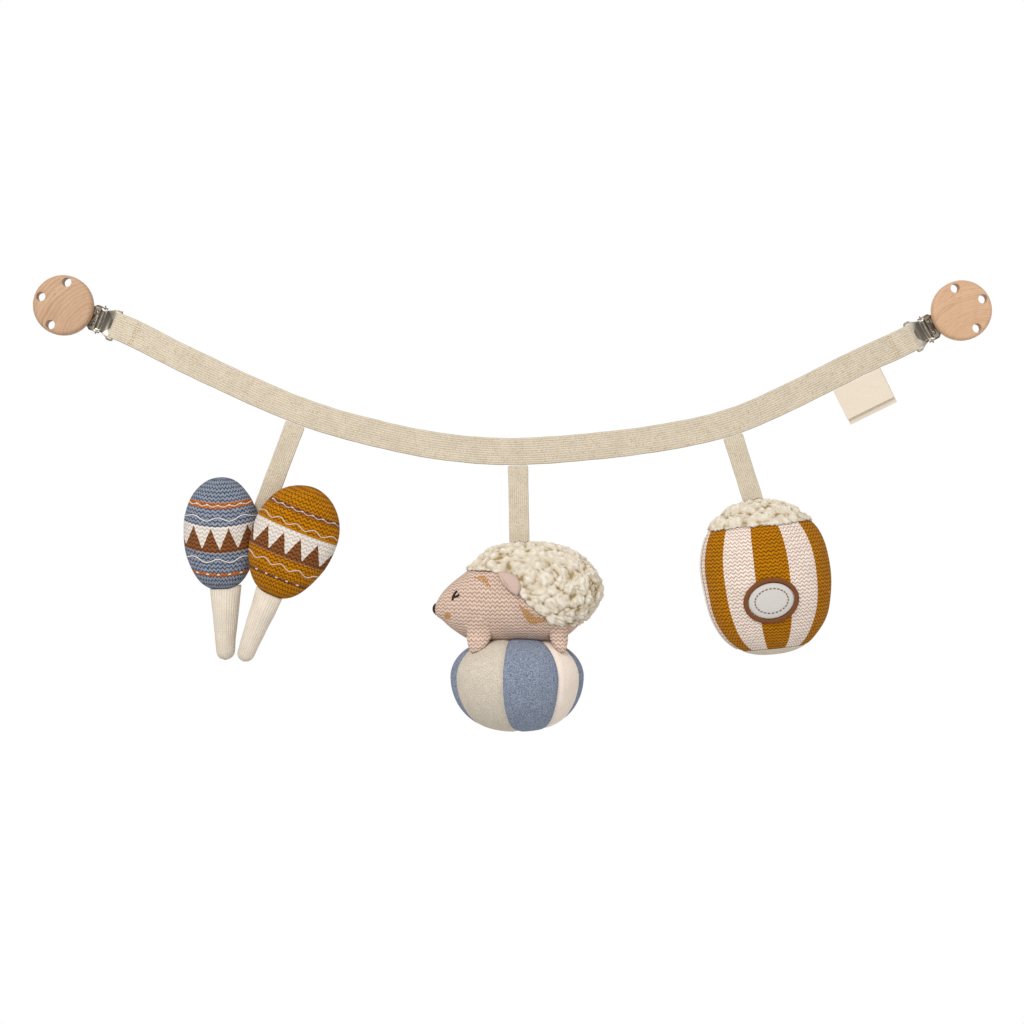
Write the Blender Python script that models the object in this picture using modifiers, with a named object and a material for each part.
"""Pram chain toy: a knitted strap with a wooden clip at each end and three stuffed toys on ribbons.

Metres, +Z up, front towards -Y. The origin lies midway between the two wooden discs, on the line
from which the two clips hold the chain. Every piece is one object, placed under an empty that lies
on the axis it turns about.
"""

import math

import bmesh
import bpy
import numpy as np
from mathutils import Matrix, Vector

# Fits and cuts
GAP = 0.0003  # between pieces that touch or are sewn together
OVERRUN = 0.002  # how far a cutter reaches past what it cuts
WELD = 0.000002  # points this near are one

# Strap: a flat knitted tube along a hanging curve
HALF_SPAN = 0.2400
STRAP_DROP = 0.0860
STRAP_WIDTH = 0.0162
STRAP_THICKNESS = 0.0018
STRAP_STEP = 0.0090
FOLD_LENGTH = 0.0140
FOLD_CLOSE = 0.0070
COURSE_SHARES = (
    (-0.990, -0.123),
    (-0.818, -0.357),
    (-0.630, -0.601),
    (-0.506, -0.741),
    (-0.381, -0.845),
    (-0.194, -0.957),
    (-0.006, -0.999),
    (0.244, -0.951),
    (0.432, -0.873),
    (0.557, -0.783),
    (0.681, -0.634),
    (0.869, -0.374),
    (0.998, -0.206),
)  # (of HALF_SPAN, of STRAP_DROP)
LEFT_CLIP_SLOPE = math.radians(-21.2)
RIGHT_CLIP_SLOPE = math.radians(28.8)

# Labels sewn into the strap's lower seam
LABEL_WIDTH = 0.0310
LABEL_LENGTH = 0.0195
CARE_LABEL_LENGTH = 0.0230
LABEL_THICKNESS = 0.0006
LABEL_STATION = 0.2115
LABEL_SHIFT = 0.0006

# Ribbons: stations run along the strap from its middle
RIBBON_WIDTH = 0.0120
RIBBON_THICKNESS = 0.0016
MARACA_STATION = -0.1302
HEDGEHOG_STATION = 0.0032
POPCORN_STATION = 0.1312
MARACA_RIBBON_LENGTH = 0.0468
HEDGEHOG_RIBBON_LENGTH = 0.0410
POPCORN_RIBBON_LENGTH = 0.0320
MARACA_TAIL_LENGTH = 0.0190
HEDGEHOG_TAIL_LENGTH = 0.0120
POPCORN_TAIL_LENGTH = 0.0120

# Clip: wooden disc, in the clip's own frame (along to the strap, across, front)
DISC_RADIUS = 0.0180
DISC_THICKNESS = 0.0080
DISC_ROUND = 0.0024
VENT_RADIUS = 0.0028
VENT_CIRCLE_RADIUS = 0.0138
VENT_TURNS = (-80.0, 0.0, 80.0)  # degrees round the disc from its outer end

# Clip: stamped base plate under the disc, with two ears for the hinge pin
PLATE_THICKNESS = 0.0009
PLATE_WIDTH = 0.0130
PLATE_START = -0.0010
PLATE_ROUND = 0.0030
NECK_START = 0.0165
NECK_WIDTH = 0.0160
EAR_THICKNESS = 0.0008
EAR_START = 0.0185
EAR_RADIUS = 0.0021
HOOK_SLOT_LENGTH = 0.0018
HOOK_SLOT_WIDTH = 0.0026
HOOK_SPREAD = 0.0070

# Clip: tacks that hold the plate to the disc
TACK_RADIUS = 0.0006
TACK_HEAD_RADIUS = 0.0014
TACK_HEAD_HEIGHT = 0.0005
TACK_DEPTH = 0.0040
TACK_POINT = 0.0010
TACK_STATIONS = (0.0105, 0.0150)

# Clip: hinge pin and lever
PIN_STATION = 0.0230
PIN_HEIGHT = 0.0006
PIN_RADIUS = 0.0009
PIN_LENGTH = 0.0188
PIN_POINT = 0.0018
LEVER_THICKNESS = 0.0007
LEVER_DISH = 0.0011
LEVER_WIDTH = 0.0168
LEVER_END_WIDTH = 0.0198
LEVER_CORNER = 0.0016
LUG_RADIUS = 0.0018
LUG_THICKNESS = 0.0012
LUG_LENGTH = 0.0036
CAM_WIDTH = 0.0022
BAR_WIDTH = 0.0012
BAR_STATION = 0.0336

# Clip: jaw with its toothed lip, and the grip pad inside it
JAW_THICKNESS = 0.0008
JAW_DEPTH = 0.0036
JAW_WIDTH = 0.0124
JAW_START = 0.0010
JAW_END = 0.0238
JAW_HINGE_STATION = 0.0194
JAW_WALL_END = 0.0165
JAW_WALL_HEIGHT = 0.0014
JAW_ROUND = 0.0022
HOOK_THICKNESS = 0.0008
HOOK_WIDTH = 0.0018
HOOK_HEAD = 0.0010
HOOK_HEAD_HEIGHT = 0.0007
TOOTH_COUNT = 7
TOOTH_HEIGHT = 0.0007
PAD_LENGTH = 0.0060
PAD_WIDTH = 0.0094
PAD_RIDGE_COUNT = 4
PAD_RIDGE_HEIGHT = 0.0006

# Maracas, placed from the sewn end of their ribbon
BLUE_HEAD_WIDTH = 0.0447
BLUE_HEAD_LENGTH = 0.0667
BLUE_HEAD_OFFSET = (-0.0276, -0.0030, -0.0210)
BLUE_LEAN = math.radians(0.0)
BLUE_EGG_SHARE = 0.05
MUSTARD_HEAD_WIDTH = 0.0505
MUSTARD_HEAD_LENGTH = 0.0690
MUSTARD_HEAD_OFFSET = (0.0162, -0.0125, -0.0264)
MUSTARD_LEAN = math.radians(22.0)
MUSTARD_EGG_SHARE = 0.12
MARACA_HEAD_DEPTH = 0.0270
BLUE_HANDLE_WIDTH = 0.0190
BLUE_HANDLE_LENGTH = 0.0420
BLUE_HANDLE_SHIFT = 0.0027
MUSTARD_HANDLE_WIDTH = 0.0176
MUSTARD_HANDLE_LENGTH = 0.0425
MUSTARD_HANDLE_SHIFT = -0.0012
MUSTARD_HANDLE_LEAN = math.radians(21.5)
HANDLE_TAPER_SHARE = 0.64
HANDLE_DEPTH_SHARE = 0.78
HANDLE_ROOT = 0.0080
HANDLE_END = 0.0040

# Hedgehog, placed from the sewn end of its ribbon
HEDGEHOG_LENGTH = 0.1003
HEDGEHOG_HEIGHT = 0.0582
HEDGEHOG_DEPTH = 0.0480
HEDGEHOG_NOSE_REACH = 0.0508
HEDGEHOG_TOP_DROP = 0.0061
BODY_SHARES = (
    (0.012, 0.270, 0.400, 0.20),
    (0.045, 0.222, 0.500, 0.36),
    (0.103, 0.134, 0.605, 0.52),
    (0.194, 0.035, 0.730, 0.69),
    (0.270, 0.000, 0.855, 0.81),
    (0.352, -0.010, 0.955, 0.91),
    (0.500, -0.015, 0.995, 1.00),
    (0.650, -0.010, 1.000, 1.00),
    (0.780, 0.005, 0.955, 0.94),
    (0.880, 0.080, 0.860, 0.79),
    (0.950, 0.205, 0.735, 0.56),
    (0.988, 0.350, 0.620, 0.28),
)  # (along from the nose, underside, top, half depth)
NOSE_TIP_SHARES = (0.000, 0.335)
TAIL_TIP_SHARES = (1.000, 0.495)
FLEECE_SEAM_RADIUS = 0.0835
FLEECE_SEAM_CENTRE = (0.0081, -0.0386)  # from the nose, from the belly line
FLEECE_SWELL = 0.0012
EAR_LENGTH = 0.0125
EAR_WIDTH = 0.0120
EAR_DEPTH = 0.0034
EAR_PLACE_SHARES = (0.450, 0.600)  # along from the nose, up from the belly line
EAR_SIDE_SHARE = 1.00  # of the half depth
EAR_TURN = math.radians(-38.0)
EAR_SPLAY = math.radians(24.0)
NOSE_WIDTH = 0.0062
NOSE_LENGTH = 0.0050
NOSE_SINK = 0.0012
FOOT_WIDTH = 0.0105
FOOT_LENGTH = 0.0150
FOOT_REACH_SHARES = (0.250, 0.750)  # front and rear feet, along from the nose
FOOT_SIDE = 0.0150
FOOT_RISE = 0.0009  # from the belly line to the foot's middle
FOOT_SPLAY = math.radians(20.0)

# Ball under the hedgehog, a sewn sphere of eight gores that the hedgehog flattens on top
BALL_WIDTH = 0.0800
BALL_DEPTH = 0.0680
BALL_LOWER_HEIGHT = 0.0328
BALL_UPPER_HEIGHT = 0.0235
BALL_TOP_DROP = 0.0210  # from the belly line to the ball's middle
BALL_MIDDLE_DROP = HEDGEHOG_TOP_DROP + HEDGEHOG_HEIGHT + BALL_TOP_DROP
BALL_SIDE_SHIFT = -0.0013
GORE_SEAM_SHARES = (-0.172, -0.036, 0.103, 0.222, 0.347, 0.472, 0.597, 0.708)  # of a full turn
GORE_DENT = 0.0009
BALL_FULLNESS = 0.80  # below 1 the ball is fuller than an ellipsoid

# Popcorn bag, placed from the sewn end of its ribbon
BAG_WIDTH = 0.0772
BAG_DEPTH = 0.0560
BAG_HEIGHT = 0.0940
BAG_OFFSET = (0.0102, 0.0000, -0.0534)
BAG_LEAN = math.radians(-6.0)
BAG_FULLNESS = 2.45  # 2 is an ellipse, and more is squarer
BAG_DEPTH_FALL = 1.4
BAG_TAPER_SHARE = 0.035
FLEECE_TOP_HEIGHT = 0.0145
FLEECE_TOP_SWELL = 0.0005
BASE_HEIGHT = 0.0042
BADGE_WIDTH = 0.0330
BADGE_HEIGHT = 0.0272
BADGE_RIM = 0.0028
BADGE_THICKNESS = 0.0011
BADGE_RIM_THICKNESS = 0.0016
BADGE_PLACE = (-0.0017, -0.0134)  # across and up from the bag's middle
BADGE_TILT = math.radians(5.0)

# Facets
DISC_STEPS = 48
SMALL_STEPS = 16
ARC_STEPS = 4
WRAP_STEPS = 8
LOFT_SIDES = 20
HEAD_RINGS = 12
HANDLE_SIDES = 16
HANDLE_RINGS = 3
SMALL_SIDES = 12
SMALL_RINGS = 6
GORE_STEPS = 4
BALL_RINGS = 12
BAG_SIDES = 24
BAG_RINGS = 14
BADGE_SIDES = 32
SAMPLES_PER_SPAN = 40

# Colours: base colour, roughness, metallic
FINISHES = {
    "beech": ((0.62, 0.40, 0.24), 0.55, 0.0),
    "nickel_steel": ((0.62, 0.60, 0.56), 0.28, 1.0),
    "grip_plastic": ((0.85, 0.84, 0.80), 0.45, 0.0),
    "cream_knit": ((0.74, 0.66, 0.52), 0.90, 0.0),
    "label_cotton": ((0.83, 0.77, 0.69), 0.85, 0.0),
    "handle_knit": ((0.80, 0.74, 0.66), 0.90, 0.0),
    "blue_knit": ((0.27, 0.32, 0.42), 0.90, 0.0),
    "mustard_knit": ((0.55, 0.34, 0.02), 0.90, 0.0),
    "pink_knit": ((0.72, 0.53, 0.45), 0.90, 0.0),
    "fleece": ((0.80, 0.76, 0.66), 0.95, 0.0),
    "dark_thread": ((0.05, 0.03, 0.02), 0.80, 0.0),
    "ball_cotton": ((0.76, 0.70, 0.60), 0.90, 0.0),
    "bag_knit": ((0.76, 0.66, 0.60), 0.90, 0.0),
    "badge_felt": ((0.78, 0.76, 0.72), 0.90, 0.0),
    "brown_thread": ((0.33, 0.14, 0.06), 0.80, 0.0),
}

# Sizes that follow from those above
WRAP_INNER = math.hypot(BAR_WIDTH / 2, LEVER_THICKNESS / 2) + GAP
WRAP_RADIUS = WRAP_INNER + STRAP_THICKNESS / 2
WRAP_OUTER = WRAP_INNER + STRAP_THICKNESS
SLOT_START = BAR_STATION - WRAP_OUTER - GAP
SLOT_END = BAR_STATION - BAR_WIDTH / 2
SLOT_WIDTH = STRAP_WIDTH + 2 * GAP
LEVER_END = BAR_STATION + BAR_WIDTH / 2
NECK_END = PIN_STATION - LUG_RADIUS - GAP
EAR_HOLE_RADIUS = PIN_RADIUS + GAP
LUG_OUTER = NECK_WIDTH / 2 - EAR_THICKNESS - GAP
PLATE_FRONT = -GAP
PLATE_REAR = PLATE_FRONT - PLATE_THICKNESS
JAW_HINGE_HEIGHT = (PLATE_FRONT + PLATE_REAR) / 2
CAM_REACH = PIN_HEIGHT + JAW_DEPTH - GAP
LIP_TOP = PLATE_REAR - GAP
CLIP_DEPTH = PIN_HEIGHT + WRAP_RADIUS
RIBBON_AXIS_DROP = STRAP_WIDTH / 2 + GAP + RIBBON_THICKNESS / 2

FRONT = Vector((0.0, -1.0, 0.0))


class Course:
    """The strap's centre line in the X-Z plane: a smooth curve, read by the distance along it."""

    def __init__(self, knots, start_slope, end_slope):
        knots = np.array(knots, float)
        spans = np.linalg.norm(np.diff(knots, axis=0), axis=1)
        times = np.concatenate([[0.0], np.cumsum(spans)])
        slopes = np.empty_like(knots)
        slopes[1:-1] = (knots[2:] - knots[:-2]) / (times[2:] - times[:-2])[:, None]
        slopes[0] = math.cos(start_slope), math.sin(start_slope)
        slopes[-1] = math.cos(end_slope), math.sin(end_slope)
        points = [knots[:1]]
        for i, span in enumerate(spans):
            t = np.linspace(0.0, 1.0, SAMPLES_PER_SPAN + 1)[1:, None]
            points.append(
                (2 * t**3 - 3 * t**2 + 1) * knots[i]
                + (t**3 - 2 * t**2 + t) * span * slopes[i]
                + (3 * t**2 - 2 * t**3) * knots[i + 1]
                + (t**3 - t**2) * span * slopes[i + 1]
            )
        self.points = np.concatenate(points)
        steps = np.linalg.norm(np.diff(self.points, axis=0), axis=1)
        self.stations = np.concatenate([[0.0], np.cumsum(steps)])
        self.length = float(self.stations[-1])
        self.middle = float(np.interp(0.0, self.points[:, 0], self.stations))
        ends = slopes[0], slopes[-1]
        self.ends = [Vector((end[0], 0.0, end[1])).normalized() for end in ends]

    def place(self, station):
        """The point, the direction along the strap and the direction up across it."""
        inside = min(max(station, 0.0), self.length)
        x = float(np.interp(inside, self.stations, self.points[:, 0]))
        z = float(np.interp(inside, self.stations, self.points[:, 1]))
        if inside in (0.0, self.length):
            along = self.ends[0 if inside == 0.0 else 1]
        else:
            reach = STRAP_STEP / 2
            low, high = max(inside - reach, 0.0), min(inside + reach, self.length)
            step = [
                np.interp(high, self.stations, self.points[:, i])
                - np.interp(low, self.stations, self.points[:, i])
                for i in (0, 1)
            ]
            along = Vector((float(step[0]), 0.0, float(step[1]))).normalized()
        point = Vector((x, 0.0, z)) + along * (station - inside)
        return point, along, Vector((-along.z, 0.0, along.x))


def material(name):
    """The Principled material of a finish, made once."""
    found = bpy.data.materials.get(name)
    if found:
        return found
    colour, roughness, metallic = FINISHES[name]
    made = bpy.data.materials.new(name)
    made.use_nodes = True
    shader = made.node_tree.nodes["Principled BSDF"]
    shader.inputs["Base Color"].default_value = (*colour, 1.0)
    shader.inputs["Roughness"].default_value = roughness
    shader.inputs["Metallic"].default_value = metallic
    made.diffuse_color = (*colour, 1.0)
    return made


def empty(name, matrix, parent=None):
    """A joint's axis or a toy's sewing point, as an empty with this world matrix."""
    made = bpy.data.objects.new(name, None)
    PARTS.objects.link(made)
    made.empty_display_size = DISC_RADIUS
    if parent:
        made.parent = parent
        made.matrix_parent_inverse = parent.matrix_world.inverted()
    made.matrix_world = matrix
    bpy.context.view_layer.update()
    return made


def add(name, mesh, finish, parent, matrix=None):
    """A part under its empty. The matrix places the mesh in the world."""
    made = bpy.data.objects.new(name, mesh)
    PARTS.objects.link(made)
    mesh.materials.append(material(finish))
    made.parent = parent
    made.matrix_parent_inverse = parent.matrix_world.inverted()
    made.matrix_world = matrix if matrix else Matrix.Identity(4)
    bpy.context.view_layer.update()
    return made


def cutter(name, mesh, matrix=None):
    """A hidden shape for a Boolean."""
    made = bpy.data.objects.new(name, mesh)
    CUTTERS.objects.link(made)
    made.hide_render = True
    made.display_type = "WIRE"
    made.matrix_world = matrix if matrix else Matrix.Identity(4)
    bpy.context.view_layer.update()
    return made


def boolean(target, other, operation):
    """A Boolean modifier with the exact solver."""
    made = target.modifiers.new(f"{operation.lower()} {other.name}", "BOOLEAN")
    made.operation = operation
    made.solver = "EXACT"
    made.object = other
    return target


def finished_mesh(made):
    """The object's mesh with its modifiers applied, in its own coordinates."""
    bpy.context.view_layer.update()
    graph = bpy.context.evaluated_depsgraph_get()
    mesh = bpy.data.meshes.new_from_object(made.evaluated_get(graph))
    shape = bmesh.new()
    shape.from_mesh(mesh)
    bmesh.ops.remove_doubles(shape, verts=shape.verts, dist=WELD)
    shape.to_mesh(mesh)
    shape.free()
    return mesh


def grown(source, by):
    """A hidden copy of a part that stands proud of it all round, to cut its neighbours with."""
    made = cutter(f"{source.name}_room_{len(CUTTERS.objects)}", finished_mesh(source))
    made.matrix_world = source.matrix_world.copy()
    swell = made.modifiers.new("swell", "DISPLACE")
    swell.strength = by
    swell.mid_level = 0.0
    bpy.context.view_layer.update()
    return made


def make_room(target, other, room=GAP):
    """Cuts a part so that it clears its neighbour by the room."""
    return boolean(target, grown(other, room), "DIFFERENCE")


def smooth(mesh, sharp=math.radians(50.0)):
    """Shades a mesh smooth, except where it turns sharply."""
    mesh.shade_smooth()
    mesh.set_sharp_from_angle(angle=sharp)
    return mesh


def arc(centre, radius, start, end, steps):
    """Points on an arc, from one angle to the other in radians."""
    turns = [start + (end - start) * i / steps for i in range(steps + 1)]
    return [(centre[0] + radius * math.cos(a), centre[1] + radius * math.sin(a)) for a in turns]


def rounded(corners, radii):
    """An outline whose corners are rounded, each with its own radius."""
    points = []
    for i, (corner, radius) in enumerate(zip(corners, radii)):
        here = Vector(corner)
        if not radius:
            points.append(corner)
            continue
        to_last = (Vector(corners[i - 1]) - here).normalized()
        to_next = (Vector(corners[(i + 1) % len(corners)]) - here).normalized()
        half = to_last.angle(to_next) / 2
        middle = (to_last + to_next).normalized() * radius / math.sin(half)
        sweep = math.pi / 2 - half
        away = -middle.normalized()
        side = 1.0 if to_last.cross(to_next) < 0 else -1.0
        for j in range(ARC_STEPS + 1):
            turn = side * sweep * (2 * j / ARC_STEPS - 1)
            spoke = Matrix.Rotation(turn, 2) @ away
            points.append(tuple(here + middle + spoke * radius))
    return points


def circle(centre, radius, steps=SMALL_STEPS):
    """A round outline."""
    return arc(centre, radius, 0.0, math.tau, steps)[:-1]


def slab(outlines, low, high, plane="flat"):
    """A mesh extruded from an outline and its holes. The plane is flat (along, across),
    side (along, front) or end (across, front), and low and high lie on the third axis."""
    curve = bpy.data.curves.new("outline", "CURVE")
    curve.dimensions = "2D"
    curve.fill_mode = "BOTH"
    curve.extrude = (high - low) / 2
    for outline in outlines:
        spline = curve.splines.new("POLY")
        spline.points.add(len(outline) - 1)
        for point, (x, y) in zip(spline.points, outline):
            point.co = (x, y, 0.0, 1.0)
        spline.use_cyclic_u = True
    shape = bpy.data.objects.new("outline", curve)
    CUTTERS.objects.link(shape)
    mesh = finished_mesh(shape)
    bpy.data.objects.remove(shape)
    bpy.data.curves.remove(curve)
    turn = {
        "flat": Matrix.Identity(4),
        "side": Matrix(((1, 0, 0, 0), (0, 0, -1, 0), (0, 1, 0, 0), (0, 0, 0, 1))),
        "end": Matrix(((0, 0, 1, 0), (1, 0, 0, 0), (0, 1, 0, 0), (0, 0, 0, 1))),
    }[plane]
    middle = (low + high) / 2
    lift = {"flat": (0, 0, middle), "side": (0, middle, 0), "end": (middle, 0, 0)}[plane]
    mesh.transform(Matrix.Translation(lift) @ turn)
    return mesh


def block(low, high):
    """A box between two corners."""
    shape = bmesh.new()
    bmesh.ops.create_cube(shape, size=1.0)
    size = Vector(high) - Vector(low)
    bmesh.ops.scale(shape, vec=size, verts=shape.verts)
    bmesh.ops.translate(shape, vec=(Vector(high) + Vector(low)) / 2, verts=shape.verts)
    mesh = bpy.data.meshes.new("block")
    shape.to_mesh(mesh)
    shape.free()
    return mesh


def joined(meshes, name):
    """Overlapping meshes made one body by Boolean unions."""
    first = cutter(name, meshes[0])
    others = [cutter(f"{name}_{i}", mesh) for i, mesh in enumerate(meshes[1:])]
    for other in others:
        boolean(first, other, "UNION")
    mesh = finished_mesh(first)
    for made in [first, *others]:
        bpy.data.objects.remove(made)
    return mesh


def less(mesh, meshes, name):
    """A mesh with others cut out of it."""
    first = cutter(name, mesh)
    others = [cutter(f"{name}_{i}", other) for i, other in enumerate(meshes)]
    for other in others:
        boolean(first, other, "DIFFERENCE")
    result = finished_mesh(first)
    for made in [first, *others]:
        bpy.data.objects.remove(made)
    return result


def turned(name, profile, steps):
    """A turned shape round Z from a profile of (radius, height), top to bottom."""
    mesh = bpy.data.meshes.new(name)
    points = [(radius, 0.0, height) for radius, height in profile]
    mesh.from_pydata(points, [(i, i + 1) for i in range(len(points) - 1)], [])
    made = cutter(name, mesh)
    screw = made.modifiers.new("turn", "SCREW")
    screw.steps = screw.render_steps = steps
    screw.use_merge_vertices = True
    screw.merge_threshold = WELD
    result = finished_mesh(made)
    bpy.data.objects.remove(made)
    return result


def band(name, points, across, width, thickness, edge_share=0.42):
    """A flat band of cloth along points, with its long edges and ends rounded."""
    shape = bmesh.new()
    rows = []
    for point, side in zip(points, across):
        reach = side * (width / 2)
        rows.append([shape.verts.new(point - reach), shape.verts.new(point + reach)])
    for near, far in zip(rows, rows[1:]):
        shape.faces.new((near[0], near[1], far[1], far[0]))
    mesh = bpy.data.meshes.new(name)
    shape.to_mesh(mesh)
    shape.free()
    made = cutter(name, mesh)
    wall = made.modifiers.new("thickness", "SOLIDIFY")
    wall.thickness = thickness
    wall.offset = 0.0
    wall.use_even_offset = True
    edge = made.modifiers.new("edge", "BEVEL")
    edge.width = thickness * edge_share
    edge.segments = 1
    edge.limit_method = "ANGLE"
    edge.angle_limit = math.radians(60.0)
    result = smooth(finished_mesh(made))
    bpy.data.objects.remove(made)
    return result


def loft(name, rings, first_tip, last_tip):
    """A closed form through rings of points, with a tip at each end."""
    shape = bmesh.new()
    start = shape.verts.new(first_tip)
    rows = [[shape.verts.new(point) for point in ring] for ring in rings]
    end = shape.verts.new(last_tip)
    count = len(rows[0])
    for i in range(count):
        j = (i + 1) % count
        shape.faces.new((start, rows[0][j], rows[0][i]))
        for near, far in zip(rows, rows[1:]):
            shape.faces.new((near[i], near[j], far[j], far[i]))
        shape.faces.new((end, rows[-1][i], rows[-1][j]))
    bmesh.ops.recalc_face_normals(shape, faces=shape.faces)
    mesh = bpy.data.meshes.new(name)
    shape.to_mesh(mesh)
    shape.free()
    return smooth(mesh)


def oval(centre, first, second, sides=LOFT_SIDES):
    """A ring of points round a centre, from its two half axes."""
    turns = [math.tau * i / sides for i in range(sides)]
    return [centre + first * math.cos(turn) + second * math.sin(turn) for turn in turns]


def egg(name, width, depth, length, share, sides=LOFT_SIDES, rings=HEAD_RINGS):
    """An egg along Z, centred, wider towards its top by the share."""
    rows = []
    for i in range(1, rings):
        turn = math.pi * i / rings
        swell = math.sin(turn) * (1.0 - share * math.cos(turn))
        centre = Vector((0.0, 0.0, -math.cos(turn) * length / 2))
        across, deep = Vector((width / 2 * swell, 0, 0)), Vector((0, depth / 2 * swell, 0))
        rows.append(oval(centre, across, deep, sides))
    return loft(name, rows, (0.0, 0.0, -length / 2), (0.0, 0.0, length / 2))


def leaning(point, lean):
    """A place for something that leans in the X-Z plane, its top towards +X."""
    return Matrix.Translation(point) @ Matrix.Rotation(lean, 4, "Y")


def strap_path(course):
    """Centre points and upward sides of the strap, from one fold's end round both bars to the other."""
    fold_steps = math.ceil(FOLD_LENGTH / FOLD_CLOSE) * ARC_STEPS
    folds = []
    for i in range(fold_steps):
        from_bar = FOLD_LENGTH * (1.0 - i / fold_steps)
        ease = min(from_bar / FOLD_CLOSE, 1.0) ** 2
        ease *= 3.0 - 2.0 * min(from_bar / FOLD_CLOSE, 1.0)
        shut = STRAP_THICKNESS + GAP
        folds.append((from_bar, 2 * WRAP_RADIUS + (shut - 2 * WRAP_RADIUS) * ease))
    turns = [math.pi * i / WRAP_STEPS for i in range(WRAP_STEPS + 1)]
    wraps = [(-WRAP_RADIUS * math.sin(a), WRAP_RADIUS + WRAP_RADIUS * math.cos(a)) for a in turns]
    half = [*folds, *wraps]
    run_steps = round(course.length / STRAP_STEP)
    run = [(course.length * i / run_steps, 0.0) for i in range(1, run_steps)]
    back = [(course.length - station, depth) for station, depth in reversed(half)]
    points, sides = [], []
    for station, depth in [*half, *run, *back]:
        point, _, up = course.place(station)
        points.append(point - FRONT * depth)
        sides.append(up)
    return points, sides


def make_strap(course, root):
    """The strap with its two labels."""
    points, sides = strap_path(course)
    mesh = band("strap", points, sides, STRAP_WIDTH, STRAP_THICKNESS)
    add("strap", mesh, "cream_knit", root)
    layers = (
        ("maker_label", LABEL_LENGTH, 1.0, 0.0),
        ("care_label", CARE_LABEL_LENGTH, -1.0, LABEL_SHIFT),
    )
    for name, length, layer, shift in layers:
        point, along, up = course.place(course.middle + LABEL_STATION + shift)
        top = point - up * (STRAP_WIDTH / 2 + GAP) + FRONT * layer * (LABEL_THICKNESS + GAP) / 2
        points = [top - up * (length * i / ARC_STEPS) for i in range(ARC_STEPS + 1)]
        mesh = band(name, points, [along] * len(points), LABEL_WIDTH, LABEL_THICKNESS)
        add(name, mesh, "label_cotton", root)


def make_ribbon(name, course, station, length, tail_length, root):
    """A ribbon that hangs square from the strap's lower seam, and the sewn end that turns with its
    toy. It gives the toy's empty and the sewn end, which is cut to the toy later."""
    point, along, up = course.place(course.middle + station)
    top = point - up * (STRAP_WIDTH / 2 + GAP)
    axis = point - up * RIBBON_AXIS_DROP
    turn = Matrix((along, -FRONT, up)).transposed().to_4x4()
    swing = empty(f"{name}_ribbon_axis", Matrix.Translation(axis) @ turn, root)
    bottom = top - up * length
    sewn = bottom - up * GAP
    toy = empty(f"{name}_turn_axis", Matrix.Translation(bottom - up * GAP / 2) @ turn, swing)
    runs = (
        (f"{name}_ribbon", top, length, swing),
        (f"{name}_ribbon_end", sewn, tail_length, toy),
    )
    for title, start, reach, parent in runs:
        steps = ARC_STEPS
        points = [start - up * (reach * i / steps) for i in range(steps + 1)]
        mesh = band(title, points, [along] * len(points), RIBBON_WIDTH, RIBBON_THICKNESS)
        made = add(title, mesh, "cream_knit", parent)
    return toy, made, sewn


def clip_frame(course, at_start):
    """The clip's own frame: along to the strap, across, front, from the disc's rear face."""
    point, along, _ = course.place(0.0 if at_start else course.length)
    inward = along if at_start else -along
    across = FRONT.cross(inward)
    origin = point - FRONT * CLIP_DEPTH - inward * BAR_STATION
    frame = Matrix((inward, across, FRONT)).transposed().to_4x4()
    return Matrix.Translation(origin) @ frame


def disc_mesh():
    """A turned disc with rounded rims, three vent holes and the holes of its tacks."""
    rim = DISC_RADIUS - DISC_ROUND
    quarter = math.pi / 2
    profile = [
        (0.0, DISC_THICKNESS),
        *arc((rim, DISC_THICKNESS - DISC_ROUND), DISC_ROUND, quarter, 0.0, ARC_STEPS),
        *arc((rim, DISC_ROUND), DISC_ROUND, 0.0, -quarter, ARC_STEPS),
        (0.0, 0.0),
    ]
    holes = []
    for turn in map(math.radians, VENT_TURNS):
        centre = (-VENT_CIRCLE_RADIUS * math.cos(turn), VENT_CIRCLE_RADIUS * math.sin(turn))
        outline = circle(centre, VENT_RADIUS)
        holes.append(slab([outline], -OVERRUN, DISC_THICKNESS + OVERRUN))
    for station in TACK_STATIONS:
        outline = circle((station, 0.0), TACK_RADIUS + GAP)
        holes.append(slab([outline], -OVERRUN, TACK_DEPTH + GAP))
    return smooth(less(turned("disc", profile, DISC_STEPS), holes, "disc_holes"))


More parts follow.
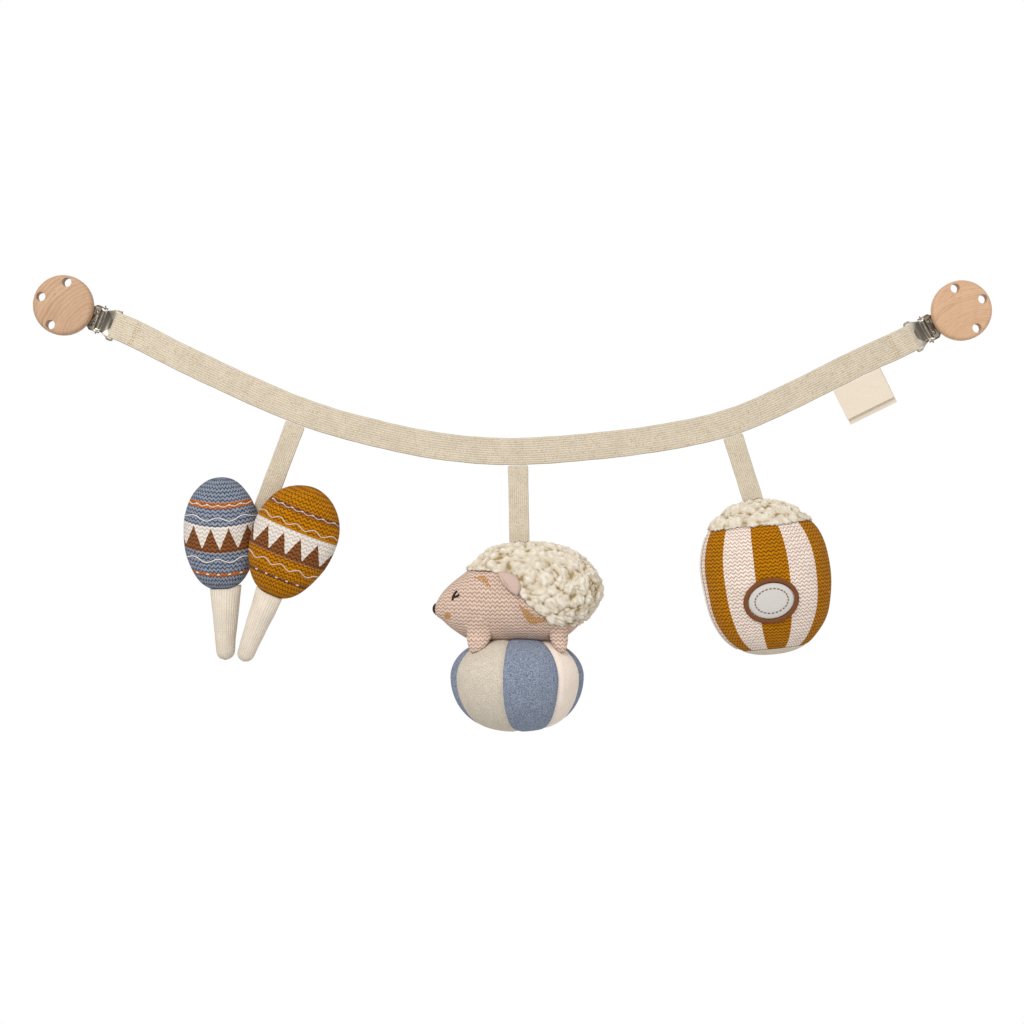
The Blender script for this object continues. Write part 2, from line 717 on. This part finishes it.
def plate_mesh():
    """The stamped base plate: a tongue under the disc, a slotted neck and two ears."""
    tongue, neck = PLATE_WIDTH / 2, NECK_WIDTH / 2
    shoulder = NECK_START + neck - tongue
    corners = [
        (PLATE_START, -tongue),
        (NECK_START, -tongue),
        (shoulder, -neck),
        (NECK_END, -neck),
        (NECK_END, neck),
        (shoulder, neck),
        (NECK_START, tongue),
        (PLATE_START, tongue),
    ]
    radii = [PLATE_ROUND, 0, 0, 0, 0, 0, 0, PLATE_ROUND]
    half_length, half_width = HOOK_SLOT_LENGTH / 2, HOOK_SLOT_WIDTH / 2
    holes = [circle((station, 0.0), TACK_RADIUS + GAP) for station in TACK_STATIONS]
    for side in (-1.0, 1.0):
        middle = side * HOOK_SPREAD / 2
        low, high = JAW_HINGE_STATION - half_length, JAW_HINGE_STATION + half_length
        near, far = middle - half_width, middle + half_width
        holes.append([(low, near), (high, near), (high, far), (low, far)])
    tongue_slab = slab([rounded(corners, radii), *holes], PLATE_REAR, PLATE_FRONT)
    pin = (PIN_STATION, PIN_HEIGHT)
    ear = [
        (EAR_START, PLATE_REAR),
        *arc(pin, EAR_RADIUS, -math.pi / 2, math.radians(105.0), 2 * ARC_STEPS),
        (EAR_START, PLATE_FRONT),
    ]
    outlines = [ear, circle(pin, EAR_HOLE_RADIUS)]
    low, high = neck - EAR_THICKNESS, neck
    ears = [slab(outlines, low, high, "side"), slab(outlines, -high, -low, "side")]
    return smooth(joined([tongue_slab, *ears], "plate"))


def tack_mesh():
    """A tack with a flat head behind the plate and its point in the disc."""
    seat = PLATE_REAR - GAP
    profile = [
        (0.0, TACK_DEPTH),
        (TACK_RADIUS, TACK_DEPTH - TACK_POINT),
        (TACK_RADIUS, seat),
        (TACK_HEAD_RADIUS, seat),
        (TACK_HEAD_RADIUS - TACK_HEAD_HEIGHT / 2, seat - TACK_HEAD_HEIGHT),
        (0.0, seat - TACK_HEAD_HEIGHT),
    ]
    return smooth(turned("tack", profile, SMALL_STEPS))


def pin_mesh():
    """The hinge pin, pointed at both ends."""
    half = PIN_LENGTH / 2
    shaft = half - PIN_POINT
    profile = [(0.0, half), (PIN_RADIUS, shaft), (PIN_RADIUS, -shaft), (0.0, -half)]
    mesh = turned("pin", profile, SMALL_STEPS)
    place = Matrix.Translation((PIN_STATION, 0.0, PIN_HEIGHT))
    mesh.transform(place @ Matrix.Rotation(math.pi / 2, 4, "X"))
    return smooth(mesh)


def lever_half_width(station):
    """Half the lever's width: narrow between the ears, flared to the strap, round at its end."""
    ears_end = PIN_STATION + EAR_RADIUS + GAP
    flare_end = SLOT_START - LEVER_CORNER
    stations = [ears_end, flare_end, SLOT_START]
    widths = [LUG_OUTER, LEVER_WIDTH / 2, LEVER_END_WIDTH / 2]
    half = float(np.interp(station, stations, widths))
    past = max(station - (LEVER_END - LEVER_CORNER), 0.0)
    return half - LEVER_CORNER + math.sqrt(max(LEVER_CORNER**2 - past**2, 0.0))


def lever_mesh():
    """The dished lever plate with its strap slot, lugs for the pin, and cams that press the jaw."""
    start = PIN_STATION + EAR_HOLE_RADIUS + GAP
    corner = LEVER_END - LEVER_CORNER
    stations = [
        start,
        PIN_STATION + EAR_RADIUS + GAP,
        *(start + (SLOT_START - start) * share for share in (0.35, 0.52, 0.70, 0.86)),
        SLOT_START,
        *(corner + LEVER_CORNER * math.sin(math.pi / 2 * i / ARC_STEPS) for i in range(ARC_STEPS)),
        LEVER_END - GAP / ARC_STEPS,
    ]
    shape = bmesh.new()
    rows = len(stations) - 1
    bmesh.ops.create_grid(shape, x_segments=rows, y_segments=2 * ARC_STEPS, size=0.5)
    for vert in shape.verts:
        station = stations[round((vert.co.x + 0.5) * rows)]
        share = 2.0 * vert.co.y
        length_share = min(max((station - start) / (SLOT_START - start), 0.0), 1.0)
        dish = LEVER_DISH * math.sin(math.pi * length_share) * (1.0 - share**2)
        vert.co = (station, share * lever_half_width(station), PIN_HEIGHT - dish)
    sheet = bpy.data.meshes.new("lever")
    shape.to_mesh(sheet)
    shape.free()
    made = cutter("lever_plate", sheet)
    wall = made.modifiers.new("thickness", "SOLIDIFY")
    wall.thickness = LEVER_THICKNESS
    wall.offset = 0.0
    plate = finished_mesh(made)
    bpy.data.objects.remove(made)
    half = SLOT_WIDTH / 2
    slot = [(SLOT_START, -half), (SLOT_END, -half), (SLOT_END, half), (SLOT_START, half)]
    low, high = PIN_HEIGHT - OVERRUN, PIN_HEIGHT + OVERRUN
    plate = less(plate, [slab([slot], low, high)], "lever_slot")
    pin = (PIN_STATION, PIN_HEIGHT)
    cam = CAM_WIDTH / 2
    cam_turn = math.acos(cam / LUG_RADIUS)
    arm_turn = math.asin(LEVER_THICKNESS / LUG_RADIUS)
    lug = [
        (PIN_STATION - cam, PIN_HEIGHT - CAM_REACH),
        (PIN_STATION + cam, PIN_HEIGHT - CAM_REACH),
        *arc(pin, LUG_RADIUS, -cam_turn, -arm_turn, 2),
        (PIN_STATION + LUG_LENGTH, PIN_HEIGHT - LEVER_THICKNESS),
        (PIN_STATION + LUG_LENGTH, PIN_HEIGHT + LEVER_THICKNESS),
        *arc(pin, LUG_RADIUS, arm_turn, math.pi + cam_turn, 2 * ARC_STEPS),
    ]
    outlines = [lug, circle(pin, EAR_HOLE_RADIUS)]
    inner = LUG_OUTER - LUG_THICKNESS
    lugs = [
        slab(outlines, inner, LUG_OUTER - GAP, "side"),
        slab(outlines, -LUG_OUTER + GAP, -inner, "side"),
    ]
    return smooth(joined([plate, *lugs], "lever"))


def zigzag(low, high, valley, peak, count):
    """Points of a row of pointed teeth from low to high."""
    pitch = (high - low) / count
    points = [(low, valley)]
    for i in range(count):
        points += [(low + pitch * (i + 0.5), peak), (low + pitch * (i + 1), valley)]
    return points


def jaw_mesh():
    """The stamped jaw: a channel with a toothed lip and two hooks that hang it in the plate."""
    half, rear, front = JAW_WIDTH / 2, -JAW_DEPTH - JAW_THICKNESS, -JAW_DEPTH
    step = JAW_THICKNESS / 8
    corners = [(JAW_START + step, -half), (JAW_END, -half), (JAW_END, half), (JAW_START + step, half)]
    pieces = [slab([rounded(corners, [0, JAW_ROUND, JAW_ROUND, 0])], rear, front)]
    wall_top = front + JAW_WALL_HEIGHT
    middle = (rear + front) / 2
    wall = [
        (JAW_START + JAW_THICKNESS / 2, middle),
        (JAW_WALL_END + JAW_WALL_HEIGHT, middle),
        (JAW_WALL_END, wall_top),
        (JAW_START + JAW_THICKNESS / 2, wall_top),
    ]
    outer = half - step
    inner = outer - JAW_THICKNESS
    pieces += [slab([wall], inner, outer, "side"), slab([wall], -outer, -inner, "side")]
    wide = half - 2 * step
    teeth = zigzag(-wide, wide, LIP_TOP - TOOTH_HEIGHT, LIP_TOP, TOOTH_COUNT)
    lip = [(-wide, middle), *teeth, (wide, middle)]
    pieces.append(slab([lip[::-1]], JAW_START, JAW_START + JAW_THICKNESS, "end"))
    stem, hinge = HOOK_THICKNESS / 2, JAW_HINGE_STATION
    head = PLATE_FRONT + GAP
    hook = [
        (hinge - stem, middle),
        (hinge + stem, middle),
        (hinge + stem, head),
        (hinge + stem + HOOK_HEAD, head),
        (hinge + stem + HOOK_HEAD, head + HOOK_HEAD_HEIGHT / 2),
        (hinge + stem, head + HOOK_HEAD_HEIGHT),
        (hinge - stem, head + HOOK_HEAD_HEIGHT),
    ]
    for side in (-1.0, 1.0):
        centre = side * HOOK_SPREAD / 2
        pieces.append(slab([hook], centre - HOOK_WIDTH / 2, centre + HOOK_WIDTH / 2, "side"))
    return smooth(joined(pieces, "jaw"), math.radians(30.0))


def pad_mesh():
    """The ribbed grip pad that fills the jaw behind its lip."""
    low = JAW_START + JAW_THICKNESS + GAP
    high = low + PAD_LENGTH
    ridges = zigzag(low, high, LIP_TOP - PAD_RIDGE_HEIGHT, LIP_TOP, PAD_RIDGE_COUNT)
    outline = [(low, GAP - JAW_DEPTH), (high, GAP - JAW_DEPTH), *ridges[::-1]]
    return slab([outline], -PAD_WIDTH / 2, PAD_WIDTH / 2, "side")


def make_clip(side, course, at_start, root):
    """One clip: the lever on the strap's bar, the disc and plate on the pin, the jaw on the plate."""
    frame = clip_frame(course, at_start)

    def axis(name, station, height, parent):
        return empty(name, frame @ Matrix.Translation((station, 0.0, height)), parent)

    bar = axis(f"{side}_bar_axis", BAR_STATION, PIN_HEIGHT, root)
    hinge = axis(f"{side}_hinge_axis", PIN_STATION, PIN_HEIGHT, bar)
    jaw = axis(f"{side}_jaw_axis", JAW_HINGE_STATION, JAW_HINGE_HEIGHT, hinge)
    add(f"{side}_lever", lever_mesh(), "nickel_steel", bar, frame)
    add(f"{side}_hinge_pin", pin_mesh(), "nickel_steel", bar, frame)
    add(f"{side}_wooden_disc", disc_mesh(), "beech", hinge, frame)
    add(f"{side}_base_plate", plate_mesh(), "nickel_steel", hinge, frame)
    for number, station in enumerate(TACK_STATIONS, 1):
        place = frame @ Matrix.Translation((station, 0.0, 0.0))
        add(f"{side}_tack_{number}", tack_mesh(), "nickel_steel", hinge, place)
    add(f"{side}_jaw", jaw_mesh(), "nickel_steel", jaw, frame)
    add(f"{side}_grip_pad", pad_mesh(), "grip_plastic", jaw, frame)


def handle_mesh(name, width, length):
    """A stuffed handle that tapers downwards from its root in the head, round at its end."""
    rows = []
    fall = HANDLE_ROOT + length
    for i in range(HANDLE_RINGS + 1):
        share = i / HANDLE_RINGS
        taper = 1.0 - (1.0 - HANDLE_TAPER_SHARE) * share
        rows.append((HANDLE_ROOT - (fall - HANDLE_END) * share, taper))
    for turn in (math.radians(35.0), math.radians(65.0)):
        low = rows[HANDLE_RINGS][0] - HANDLE_END * math.sin(turn)
        rows.append((low, HANDLE_TAPER_SHARE * math.cos(turn)))
    rings = []
    for height, share in rows:
        across = Vector((width / 2 * share, 0.0, 0.0))
        deep = Vector((0.0, width / 2 * HANDLE_DEPTH_SHARE * share, 0.0))
        rings.append(oval(Vector((0.0, 0.0, height)), across, deep, HANDLE_SIDES))
    return loft(name, rings, (0.0, 0.0, HANDLE_ROOT), (0.0, 0.0, -length))


def make_maracas(toy, ribbon_end, sewn):
    """Two stuffed maracas, the mustard one in front, sewn to each other and to the ribbon."""
    made = []
    sizes = (
        ("blue", BLUE_HEAD_WIDTH, BLUE_HEAD_LENGTH, BLUE_EGG_SHARE),
        ("mustard", MUSTARD_HEAD_WIDTH, MUSTARD_HEAD_LENGTH, MUSTARD_EGG_SHARE),
    )
    places = (
        leaning(sewn + Vector(BLUE_HEAD_OFFSET), BLUE_LEAN),
        leaning(sewn + Vector(MUSTARD_HEAD_OFFSET), MUSTARD_LEAN),
    )
    handles = (
        (BLUE_HANDLE_WIDTH, BLUE_HANDLE_LENGTH, BLUE_HANDLE_SHIFT, BLUE_LEAN),
        (MUSTARD_HANDLE_WIDTH, MUSTARD_HANDLE_LENGTH, MUSTARD_HANDLE_SHIFT, MUSTARD_HANDLE_LEAN),
    )
    for (colour, width, length, share), place, handle in zip(sizes, places, handles):
        mesh = egg(f"{colour}_head", width, MARACA_HEAD_DEPTH, length, share)
        head = add(f"{colour}_maraca_head", mesh, f"{colour}_knit", toy, place)
        handle_width, handle_length, shift, lean = handle
        root = place @ Vector((shift, 0.0, -length / 2))
        mesh = handle_mesh(f"{colour}_handle", handle_width, handle_length)
        grip = add(f"{colour}_maraca_handle", mesh, "handle_knit", toy, leaning(root, lean))
        made.append((head, grip))
    (blue, blue_grip), (mustard, mustard_grip) = made
    make_room(blue, mustard)
    make_room(mustard_grip, mustard)
    for other in (blue, mustard, mustard_grip):
        make_room(blue_grip, other)
    make_room(ribbon_end, blue)
    make_room(ribbon_end, mustard)


def animal_mesh(name, swell, nose):
    """The hedgehog's whole form, swelled by a distance, from the tip of its nose."""
    belly = HEDGEHOG_HEIGHT
    rings = []
    for along, under, top, deep in BODY_SHARES:
        middle = nose + Vector((along * HEDGEHOG_LENGTH, 0.0, (under + top) / 2 * belly))
        tall = Vector((0.0, 0.0, (top - under) / 2 * belly + swell))
        wide = Vector((0.0, deep * HEDGEHOG_DEPTH / 2 + swell, 0.0))
        rings.append(oval(middle, wide, tall))
    tips = []
    for (along, up), side in ((NOSE_TIP_SHARES, -1.0), (TAIL_TIP_SHARES, 1.0)):
        reach = along * HEDGEHOG_LENGTH + side * swell
        tips.append(nose + Vector((reach, 0.0, up * HEDGEHOG_HEIGHT)))
    return loft(name, rings, *tips)


def ball_mesh():
    """A sewn ball of gores with a shallow groove at each seam, flatter above than below."""
    turns = []
    seams = [*GORE_SEAM_SHARES, GORE_SEAM_SHARES[0] + 1.0]
    for first, last in zip(seams, seams[1:]):
        steps = range(GORE_STEPS)
        turns += [(math.tau * (first + (last - first) * i / GORE_STEPS), i == 0) for i in steps]
    rings = []
    for i in range(1, BALL_RINGS):
        turn = math.pi * i / BALL_RINGS
        reach = BALL_LOWER_HEIGHT if turn < math.pi / 2 else BALL_UPPER_HEIGHT
        height = -math.cos(turn) * reach
        ring = []
        for angle, seam in turns:
            share = math.sin(turn) ** BALL_FULLNESS
            dent = GORE_DENT * share if seam else 0.0
            across = (BALL_WIDTH / 2 - dent) * share * math.sin(angle)
            deep = (BALL_DEPTH / 2 - dent) * share * math.cos(angle)
            ring.append(Vector((across, -deep, height)))
        rings.append(ring)
    return loft("ball", rings, (0.0, 0.0, -BALL_LOWER_HEIGHT), (0.0, 0.0, BALL_UPPER_HEIGHT))


def make_hedgehog(toy, ribbon_end, sewn):
    """The hedgehog on its ball: a knitted face and belly, a fleece back, ears, nose and feet."""
    belly = sewn - Vector((0.0, 0.0, HEDGEHOG_TOP_DROP + HEDGEHOG_HEIGHT))
    nose = belly - Vector((HEDGEHOG_NOSE_REACH, 0.0, 0.0))
    down = Vector((BALL_SIDE_SHIFT, 0.0, -BALL_MIDDLE_DROP))
    ball = add("ball", ball_mesh(), "ball_cotton", toy, Matrix.Translation(sewn + down))
    body = add("hedgehog_body", animal_mesh("hedgehog_body", 0.0, nose), "pink_knit", toy)
    mesh = animal_mesh("hedgehog_fleece", FLEECE_SWELL, nose)
    fleece = add("hedgehog_fleece", mesh, "fleece", toy)
    centre = (nose.x + FLEECE_SEAM_CENTRE[0], nose.z + FLEECE_SEAM_CENTRE[1])
    for part, radius, operation in (
        (body, FLEECE_SEAM_RADIUS, "INTERSECT"),
        (fleece, FLEECE_SEAM_RADIUS + GAP, "DIFFERENCE"),
    ):
        outline = circle(centre, radius, 2 * DISC_STEPS)
        mesh = slab([outline], -HEDGEHOG_DEPTH, HEDGEHOG_DEPTH, "side")
        boolean(part, cutter(f"{part.name}_seam", mesh), operation)
    make_room(body, ball)
    make_room(fleece, ball)
    make_room(ribbon_end, fleece)
    nose_tip = nose + Vector((NOSE_SINK, 0.0, NOSE_TIP_SHARES[1] * HEDGEHOG_HEIGHT))
    mesh = egg("nose", NOSE_WIDTH, NOSE_WIDTH, NOSE_LENGTH, 0.0, SMALL_SIDES, SMALL_RINGS)
    place = leaning(nose_tip, math.pi / 2)
    make_room(add("hedgehog_nose", mesh, "dark_thread", toy, place), body)
    ear_along, ear_up = EAR_PLACE_SHARES
    deep = float(np.interp(ear_along, [row[0] for row in BODY_SHARES], [row[3] for row in BODY_SHARES]))
    for side, sign in (("near", -1.0), ("far", 1.0)):
        mesh = egg("ear", EAR_WIDTH, EAR_DEPTH, EAR_LENGTH, 0.0, SMALL_SIDES, SMALL_RINGS)
        point = nose + Vector(
            (
                ear_along * HEDGEHOG_LENGTH,
                sign * deep * HEDGEHOG_DEPTH / 2 * EAR_SIDE_SHARE,
                ear_up * HEDGEHOG_HEIGHT,
            )
        )
        splay = Matrix.Rotation(-sign * EAR_SPLAY, 4, "X")
        ear = add(f"hedgehog_{side}_ear", mesh, "pink_knit", toy, leaning(point, EAR_TURN) @ splay)
        make_room(ear, body)
        make_room(ear, fleece)
        for end, reach in zip(("front", "rear"), FOOT_REACH_SHARES):
            mesh = egg("foot", FOOT_WIDTH, FOOT_WIDTH, FOOT_LENGTH, 0.0, SMALL_SIDES, SMALL_RINGS)
            point = nose + Vector((reach * HEDGEHOG_LENGTH, sign * FOOT_SIDE, FOOT_RISE))
            splay = Matrix.Rotation(sign * FOOT_SPLAY, 4, "X")
            place = Matrix.Translation(point) @ splay
            foot = add(f"hedgehog_{end}_{side}_foot", mesh, "pink_knit", toy, place)
            for other in (body, fleece, ball):
                make_room(foot, other)


def bag_mesh(name, swell):
    """The whole stuffed bag, centred, swelled by a distance."""
    rings = []
    for i in range(1, BAG_RINGS):
        turn = math.pi * i / BAG_RINGS
        height = -math.cos(turn)
        full = (1.0 - abs(height) ** BAG_FULLNESS) ** (1.0 / BAG_FULLNESS)
        taper = 1.0 + BAG_TAPER_SHARE * height
        across = Vector((BAG_WIDTH / 2 * full * taper + swell, 0.0, 0.0))
        deep = Vector((0.0, BAG_DEPTH / 2 * full**BAG_DEPTH_FALL + swell, 0.0))
        rings.append(oval(Vector((0.0, 0.0, height * BAG_HEIGHT / 2)), across, deep, BAG_SIDES))
    end = BAG_HEIGHT / 2 + swell
    return loft(name, rings, (0.0, 0.0, -end), (0.0, 0.0, end))


def make_popcorn(toy, ribbon_end, sewn):
    """The stuffed popcorn bag: base strip, striped bag, fleece top, and the badge with its rim."""
    place = leaning(sewn + Vector(BAG_OFFSET), BAG_LEAN)
    bottom, top = -BAG_HEIGHT / 2, BAG_HEIGHT / 2
    base_seam, top_seam = bottom + BASE_HEIGHT, top - FLEECE_TOP_HEIGHT
    layers = (
        ("popcorn_base", "bag_knit", 0.0, bottom - BAG_WIDTH, base_seam),
        ("popcorn_bag", "bag_knit", 0.0, base_seam + GAP, top_seam),
        ("popcorn_top", "fleece", FLEECE_TOP_SWELL, top_seam + GAP, top + BAG_WIDTH),
    )
    made = {}
    for name, finish, swell, low, high in layers:
        made[name] = add(name, bag_mesh(name, swell), finish, toy, place)
        layer = block((-BAG_WIDTH, -BAG_WIDTH, low), (BAG_WIDTH, BAG_WIDTH, high))
        boolean(made[name], cutter(f"{name}_layer", layer, place), "INTERSECT")
    make_room(ribbon_end, made["popcorn_top"])
    bag = cutter("popcorn_shell", bag_mesh("popcorn_shell", 0.0), place)
    wide, tall = BADGE_WIDTH / 2, BADGE_HEIGHT / 2
    shares = [(math.cos(turn), math.sin(turn)) for turn in np.linspace(0.0, math.tau, BADGE_SIDES + 1)]
    tilt = Matrix.Rotation(BADGE_TILT, 2)

    def outline(inset):
        """The badge's oval, drawn in by a distance."""
        centre = Vector(BADGE_PLACE)
        corners = [((wide - inset) * x, (tall - inset) * y) for x, y in shares[:-1]]
        return [tuple(centre + tilt @ Vector(corner)) for corner in corners]

    pieces = (
        ("popcorn_badge", "badge_felt", [outline(BADGE_RIM + GAP)], BADGE_THICKNESS),
        ("popcorn_badge_rim", "brown_thread", [outline(0.0), outline(BADGE_RIM)], BADGE_RIM_THICKNESS),
    )
    for name, finish, outlines, thickness in pieces:
        mesh = slab(outlines, -BAG_DEPTH, 0.0, "side")
        badge = add(name, mesh, finish, toy, place)
        boolean(badge, grown(bag, GAP + thickness), "INTERSECT")
        boolean(badge, grown(bag, GAP), "DIFFERENCE")


for old in list(bpy.data.objects):
    bpy.data.objects.remove(old, do_unlink=True)
PARTS = bpy.data.collections.new("pram_chain_toy")
CUTTERS = bpy.data.collections.new("cutters")
bpy.context.scene.collection.children.link(PARTS)
bpy.context.scene.collection.children.link(CUTTERS)


def main():
    """Builds the whole chain."""
    knots = [(HALF_SPAN * along, STRAP_DROP * up) for along, up in COURSE_SHARES]
    course = Course(knots, LEFT_CLIP_SLOPE, RIGHT_CLIP_SLOPE)
    root = empty("hang_point", Matrix.Identity(4))
    make_strap(course, root)
    make_clip("left", course, True, root)
    make_clip("right", course, False, root)
    toys = (
        ("maraca", MARACA_STATION, MARACA_RIBBON_LENGTH, MARACA_TAIL_LENGTH, make_maracas),
        ("hedgehog", HEDGEHOG_STATION, HEDGEHOG_RIBBON_LENGTH, HEDGEHOG_TAIL_LENGTH, make_hedgehog),
        ("popcorn", POPCORN_STATION, POPCORN_RIBBON_LENGTH, POPCORN_TAIL_LENGTH, make_popcorn),
    )
    for name, station, length, tail_length, make_toy in toys:
        make_toy(*make_ribbon(name, course, station, length, tail_length, root))


main()
